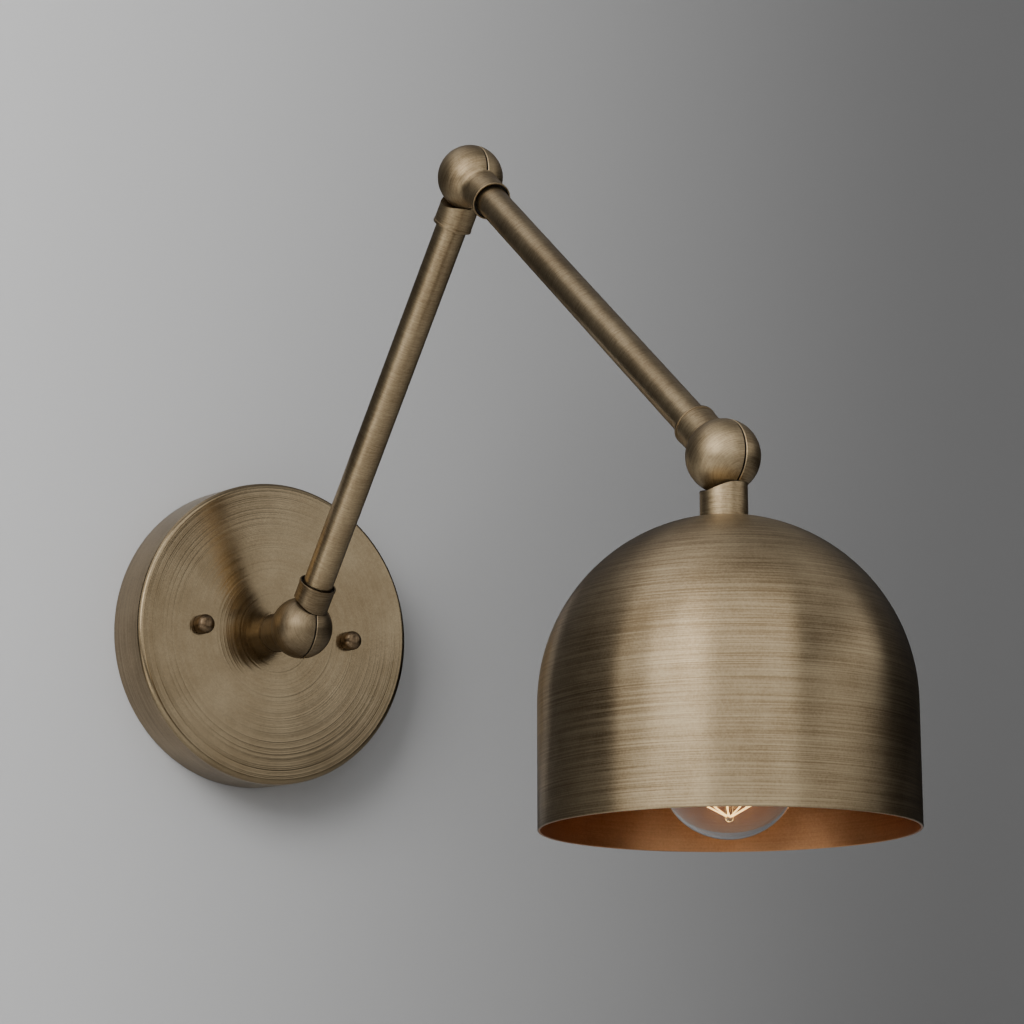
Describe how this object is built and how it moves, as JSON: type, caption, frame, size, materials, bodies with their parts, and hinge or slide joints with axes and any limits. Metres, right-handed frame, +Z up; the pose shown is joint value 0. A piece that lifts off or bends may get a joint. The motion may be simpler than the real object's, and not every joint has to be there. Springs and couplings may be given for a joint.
{
  "type": "articulating wall light",
  "caption": "Wall light whose bell shade hangs on two tube arms joined by split-ball knuckles, each of which tilts about a level axis.",
  "frame": {"origin": "centre of the wall plate's back, in the plane of the wall, midway between the two box-screw slots", "axes": "+Z up, the light stands out from the wall towards -Y, +X is to the right of someone who faces the wall, and every hinge axis lies along X"},
  "size_m": [0.127, 0.4021, 0.2769],
  "materials": {
    "antique_brass": "brushed and toned",
    "dark_brass": "toned dark",
    "plain_brass": "plain",
    "zinc_steel": "zinc plated",
    "green_steel": "green coating",
    "lead_cover": "smooth",
    "nylon": "smooth",
    "holder_plastic": "glazed",
    "bulb_base_metal": "satin",
    "bulb_insulator_glass": "glossy",
    "clear_glass": "clear",
    "filament_metal": "bright"
  },
  "bodies": {
    "wall_mount": {"canopy": "antique_brass", "cap_nuts": "dark_brass", "wall_bar": "zinc_steel", "stud_bar": "zinc_steel", "bar_eyelet": "plain_brass", "stud_rods": "zinc_steel", "stud_nuts": "zinc_steel", "ground_screw": "green_steel", "canopy_seat_ring": "antique_brass", "canopy_nipple": "plain_brass", "canopy_backing_plate": "zinc_steel", "canopy_lock_washer": "zinc_steel", "canopy_lock_nut": "plain_brass", "wall_knuckle_inner_half": "antique_brass", "wall_knuckle_screw": "dark_brass", "wall_knuckle_spring_washer": "zinc_steel", "wall_leads": "lead_cover"},
    "lower_arm": {"wall_knuckle_outer_half": "antique_brass", "wall_friction_washer": "nylon", "lower_tube": "antique_brass", "elbow_outer_half": "antique_brass", "elbow_friction_washer": "nylon", "lower_leads": "lead_cover"},
    "upper_arm": {"elbow_inner_half": "antique_brass", "elbow_screw": "dark_brass", "elbow_spring_washer": "zinc_steel", "upper_tube": "antique_brass", "head_knuckle_inner_half": "antique_brass", "head_knuckle_screw": "dark_brass", "head_knuckle_spring_washer": "zinc_steel", "upper_leads": "lead_cover"},
    "lamp_head": {"head_knuckle_outer_half": "antique_brass", "head_friction_washer": "nylon", "shade_seat_ring": "antique_brass", "shade": "antique_brass", "shade_nipple": "plain_brass", "shade_lock_washer": "zinc_steel", "shade_lock_nut": "plain_brass", "socket_cap": "plain_brass", "socket_body": "holder_plastic", "socket_screw_shell": "plain_brass", "socket_contact": "plain_brass", "head_leads": "lead_cover", "bulb_base": "bulb_base_metal", "bulb_insulator": "bulb_insulator_glass", "bulb_tip": "bulb_base_metal", "bulb_glass": "clear_glass", "bulb_stem": "clear_glass", "filament_supports": "zinc_steel", "filament": "filament_metal"}
  },
  "joints": [
    {"name": "wall_knuckle", "type": "hinge", "parent": "wall_mount", "child": "lower_arm", "pos_m": [0, -0.0452, 0], "axis": [1, 0, 0], "range_deg": [-46.1, 153.9]},
    {"name": "elbow_knuckle", "type": "hinge", "parent": "lower_arm", "child": "upper_arm", "pos_m": [0, -0.1654, 0.16483], "axis": [1, 0, 0], "range_deg": [-192.95, 7.05]},
    {"name": "head_knuckle", "type": "hinge", "parent": "upper_arm", "child": "lamp_head", "pos_m": [0, -0.33236, 0.02938], "axis": [1, 0, 0], "range_deg": [-147.55, 52.45]}
  ]
}
